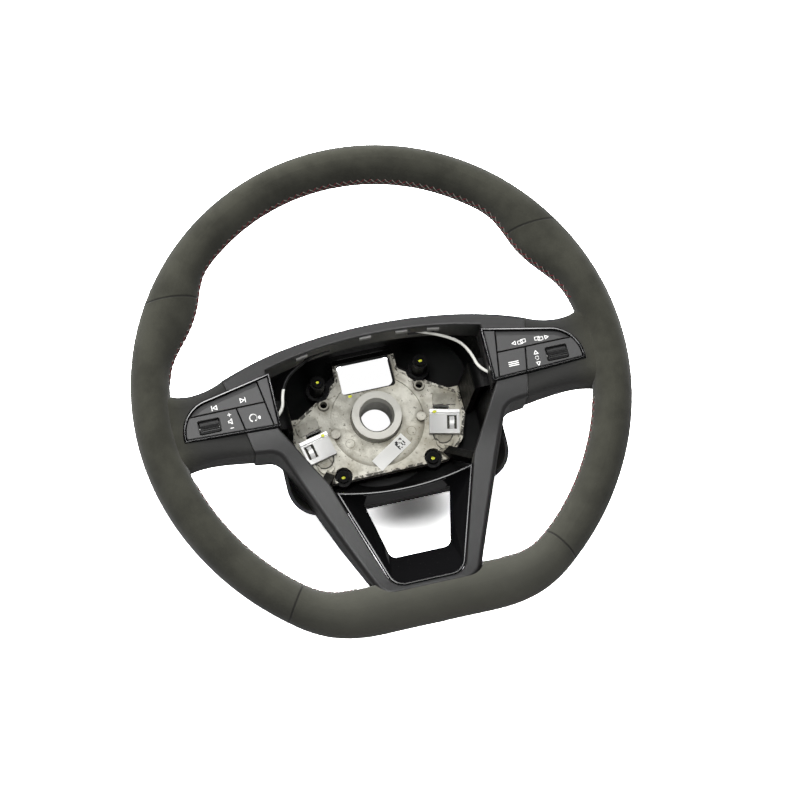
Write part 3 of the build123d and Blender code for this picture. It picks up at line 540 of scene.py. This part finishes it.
# Rim stitches: a cross stitch of one grey and one red thread that closes the panels along the rim's
# inner edge. It stops at the spokes and at the legs' foot, where the cover hides the seam.
grip = surface(*panels)
stitch_level, spoke_reach, foot_half_width = 0.103, 0.138, 0.056
steps_per_degree, shortest_run = 4, 20
runs = [[]]
for step in range(360 * steps_per_degree + 1):
    angle = math.radians(step / steps_per_degree)
    ray = Vector((math.cos(angle), math.sin(angle), 0))
    point, _, _, reach = grip.ray_cast(Vector((0, 0, stitch_level)), ray)
    if point and reach > spoke_reach and (point.y > 0 or abs(point.x) > foot_half_width):
        runs[-1].append(point)
    elif runs[-1]:
        runs.append([])
stitch_points, stitch_edges = [], []
for run in runs:
    if len(run) > shortest_run:
        start = len(stitch_points)
        stitch_points += run
        stitch_edges += [(start + k, start + k + 1) for k in range(len(run) - 1)]


def threads(path, pitch, reach, thread, arch, slope, lean):
    """One thread of the cross stitch: an arched thread in each pitch, slanting across the seam."""
    line = path.make("GeometryNodeMeshToCurve", {0: path})
    links = {"Curve": line, "Length": pitch}
    spots = line.make("GeometryNodeResampleCurve", links, mode="LENGTH")
    links = {"Vector": line.make("GeometryNodeInputTangent", {})}
    turned = line.make("FunctionNodeAlignRotationToVector", links, axis="X", pivot_axis="Z")
    foot = line.make("ShaderNodeCombineXYZ", {0: pitch * -0.5, 2: slope * reach * -1.0})
    crown = line.make("ShaderNodeCombineXYZ", {1: arch})
    head = line.make("ShaderNodeCombineXYZ", {0: pitch * 0.5, 2: slope * reach})
    links = {"Resolution": 8, "Start": foot, "Middle": crown, "End": head}
    bow = line.make("GeometryNodeCurveQuadraticBezier", links)
    ring = line.make("GeometryNodeCurvePrimitiveCircle", {"Resolution": 6, "Radius": thread})
    links = {"Curve": bow, "Profile Curve": ring, "Fill Caps": True}
    stitch = line.make("GeometryNodeCurveToMesh", links)
    links = {"Geometry": stitch, "Rotation": line.make("ShaderNodeCombineXYZ", {0: lean})}
    stitch = line.make("GeometryNodeTransform", links)
    links = {"Points": spots, "Instance": stitch, "Rotation": turned}
    return line.make("GeometryNodeInstanceOnPoints", links)


sewing = {"pitch": 0.0052, "reach": 0.0029, "thread": 0.00032, "arch": 0.0009, "lean": 0.17}
thread_grey = finish("thread_grey", tone(128, 124, 118), 0.7)
thread_red = finish("thread_red", tone(98, 36, 42), 0.7)
for stitch_name, thread, slope in (("grey", thread_grey, 1.0), ("red", thread_red, -1.0)):
    seam_line = (stitch_points, stitch_edges, thread, threads)
    stitches = grown("stitches_" + stitch_name, *seam_line, slope=slope, **sewing)
    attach(stitches, "wheel")


# Front spoke cover: one dark grained moulding of brow, wings and legs, clipped to the rear cover. Four
# snap tabs on the brow's inner skirt are of a paler plastic.
grained_plastic = finish("grained_plastic", tone(36, 36, 36), 0.45)
cover_height = place_on(grained_plastic).part(1)
# Painted light: the brow is lighter; the legs are darker low down.
brow_light_and_low_dark = cover_height.smooth(-0.13, -0.05).mixed(tone(25, 25, 25), tone(36, 36, 36))
brow_light_and_low_dark = cover_height.smooth(0.02, 0.05).mixed(brow_light_and_low_dark, tone(50, 50, 50))
wire(grained_plastic, Base_Color=brow_light_and_low_dark, Normal=grain_on(grained_plastic))
paint(grained_plastic, "spoke_cover")


def snap_tabs(spots, length, depth, rise, bow):
    """Small blocks on the spots, each turned along the bowed skirt."""
    block = spots.make("ShaderNodeCombineXYZ", {0: length, 1: depth, 2: rise})
    block = spots.make("GeometryNodeMeshCube", {"Size": block})
    sideways = spots.make("GeometryNodeInputPosition", {}).part(0)
    turned = spots.make("ShaderNodeCombineXYZ", {2: sideways * bow})
    links = {"Points": spots, "Instance": block, "Rotation": turned}
    return spots.make("GeometryNodeInstanceOnPoints", links)


skirt_top, skirt_bow, tab_level = 0.0413, 0.572, 0.0945
tab_size = {"length": 0.009, "depth": 0.0016, "rise": 0.004}
tab_plastic = finish("tab_plastic", tone(112, 112, 110), 0.5)
tab_spots = [(x, skirt_top - x * x / skirt_bow, tab_level) for x in (-0.0525, -0.003, 0.0245, 0.048)]
tabs = grown("brow_tabs", tab_spots, [], tab_plastic, snap_tabs, bow=-3.5, **tab_size)
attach(tabs, "wheel")


# Lower trim and switch bezels: piano-black mouldings, polished in the tool and left bare. The trim
# clips in between the legs, and each bezel frames a switch module.
gloss_black = finish("gloss_black", tone(9, 9, 10), 0.08)
paint(gloss_black, "lower_trim", "left_switch_bezel", "right_switch_bezel")


# Switch modules: satin keys over a rubber mat and a circuit board in a plain housing, with a dark
# ribbed roller on a steel axle. The keys' signs are printed in white and ride on the keys.
switch_satin = finish("switch_satin", tone(51, 51, 51), 0.47)
hidden_plastic = finish("hidden_plastic", tone(22, 22, 22), 0.6)
roller_rubber = finish("roller_rubber", tone(24, 24, 24), 0.5)
module_finishes = (
    (switch_satin, ("push_button", "rocker", "roller_plate", "end_cap")),
    (hidden_plastic, ("switch_housing", "roller_carrier", "switch_board", "key_mat")),
    (roller_rubber, ("roller",)),
    (zinc_plate, ("rocker_pin", "roller_axle")),
)
for material, names in module_finishes:
    paint(material, *(hand + name for hand in ("left_", "right_") for name in names))


def decal(name, node, polygons, material, lift, body):
    """A thin print laid on a CAD node from above, each corner a little proud of it."""
    ground = surface(node)
    points, faces = [], []
    for polygon in polygons:
        faces.append(range(len(points), len(points) + len(polygon)))
        points += [below(ground, x, y) + Vector((0, 0, lift)) for x, y in polygon]
    piece = mesh_object(name, points, faces, material)
    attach(piece, body)


def stroke(points, width, closed=False):
    """A thick line through points, as four-sided polygons."""
    ends = points[1:] + points[:1] if closed else points[1:]
    bars = []
    for a, b in zip(points, ends):
        a, b = Vector(a), Vector(b)
        onward = (b - a).normalized() * width / 2
        aside = Vector((-onward.y, onward.x))
        bars.append([a - onward - aside, b + onward - aside, b + onward + aside, a - onward + aside])
    return bars


def arc(radius, first, last, middle=(0, 0), count=14):
    """Points on an arc between two angles in degrees."""
    angles = [math.radians(first + (last - first) * k / count) for k in range(count + 1)]
    return [(middle[0] + radius * math.cos(a), middle[1] + radius * math.sin(a)) for a in angles]


def pointer(x, width, rise, pen):
    """An outlined triangle that points along its width's sign."""
    return stroke([(x, -rise / 2), (x + width, 0), (x, rise / 2)], pen, True)


def boxes(x, pen):
    """Two linked boxes."""
    first = [(x, -1.5), (x + 3.6, -1.5), (x + 3.6, 0.9), (x, 0.9)]
    return stroke(first, pen, True) + stroke([(a + 2.4, b + 0.7) for a, b in first], pen, True)


def flipped(polygons):
    """The same sign mirrored left to right, its corners still in order."""
    return [[Vector((-x, y)) for x, y in reversed(polygon)] for polygon in polygons]


# The signs are drawn in millimetres from their own middles.
pen, fine_pen, line_pen, voice_pen = 0.52, 0.45, 0.6, 0.75
skip = stroke([(-1.9, -1.7), (-1.9, 1.7)], pen) + pointer(1.8, -2.9, 3.2, pen)
linked = pointer(-2.0, -2.6, 2.8, pen) + boxes(-0.3, fine_pen)
up_arrow = stroke([(-1.5, -1.1), (1.5, -1.1), (0, 1.5)], pen, True)
down_arrow = stroke([(-1.5, 1.1), (0, -1.5), (1.5, 1.1)], pen, True)
circle = stroke(arc(1.3, 0, 336), pen, True)
plus = stroke([(-1.1, 0), (1.1, 0)], pen) + stroke([(0, -1.1), (0, 1.1)], pen)
minus = stroke([(-1.0, 0), (1.0, 0)], pen)
horn = [(-1.7, -0.7), (-0.5, -0.7), (0.9, -1.9), (0.9, 1.9), (-0.5, 0.7), (-1.7, 0.7)]
horn = stroke(horn, pen, True)
lips = [Vector((3.2 + x, 1.6 * y - 0.6)) for x, y in arc(0.85, 0, 330)]
voice = stroke(arc(2.7, -62, 242, (-1.3, 0)), voice_pen) + [lips]
lines = [bar for y in (-1.4, 0, 1.4) for bar in stroke([(-3.6, y), (3.6, y)], line_pen)]
signs = (
    ("left_skip_back", "left_rocker", -125.0, 8.4, skip),
    ("left_skip_ahead", "left_rocker", -103.5, 9.8, flipped(skip)),
    ("left_voice", "left_push_button", -97.5, -5.0, voice),
    ("left_plus", "left_roller_plate", -115.5, 1.0, plus),
    ("left_horn", "left_roller_plate", -115.5, -4.2, horn),
    ("left_minus", "left_roller_plate", -115.5, -9.2, minus),
    ("right_boxes_back", "right_rocker", 105.0, 9.2, linked),
    ("right_boxes_ahead", "right_rocker", 123.5, 8.8, flipped(linked)),
    ("right_lines", "right_push_button", 98.0, -6.0, lines),
    ("right_up", "right_roller_plate", 116.0, -1.2, up_arrow),
    ("right_ring", "right_roller_plate", 116.0, -5.4, circle),
    ("right_down", "right_roller_plate", 116.0, -9.8, down_arrow),
)
print_lift = 0.00004
sign_white = finish("sign_white", tone(232, 232, 230), 0.5)
bodies = frame["record"]["behaviour"]["bodies"]
carriers = {node: body for body, nodes in bodies.items() for node in nodes}
for sign, node, x, y, polygons in signs:
    placed = [[((x + a) / 1000, (y + b) / 1000) for a, b in polygon] for polygon in polygons]
    decal("sign_" + sign, node, placed, sign_white, print_lift, carriers[node])


# Switch lead: a pale sleeved cable between the two modules, free behind the brow and taped black on
# its left half. Its ends go into the modules' housings.
route = [
    (80.5, -4, 94), (74.5, 1.5, 92), (72.5, 13, 90), (67, 25, 88), (55, 33.5, 86),
    (42, 39.5, 84.5), (28, 45.2, 83.5), (10, 46.6, 83),
]
route += [(-x, y, z) for x, y, z in reversed(route)]
tape_start, sheath_colour = 0.017, tone(190, 190, 184)
lead_sheath = finish("lead_sheath", sheath_colour, 0.5)
sheath_place = place_on(lead_sheath)
taped = (sheath_place.part(0) < 0.0) * (sheath_place.part(1) > tape_start)
wire(lead_sheath, Base_Color=taped.mixed(sheath_colour, tone(14, 14, 14)))
lead_curve = bpy.data.curves.new("switch_cable", "CURVE")
lead_curve.dimensions = "3D"
spline = lead_curve.splines.new("NURBS")
spline.points.add(len(route) - 1)
for knot, (x, y, z) in zip(spline.points, route):
    knot.co = (x / 1000, y / 1000, z / 1000, 1)
spline.order_u = 3
spline.use_endpoint_u = True
spline.resolution_u = 8
lead_curve.bevel_depth = 0.0012
lead_curve.bevel_resolution = 3
lead_curve.use_fill_caps = True
lead_curve.materials.append(lead_sheath)
lead = bpy.data.objects.new("switch_cable", lead_curve)
bpy.context.scene.collection.objects.link(lead)
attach(lead, "wheel")
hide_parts("switch_lead")
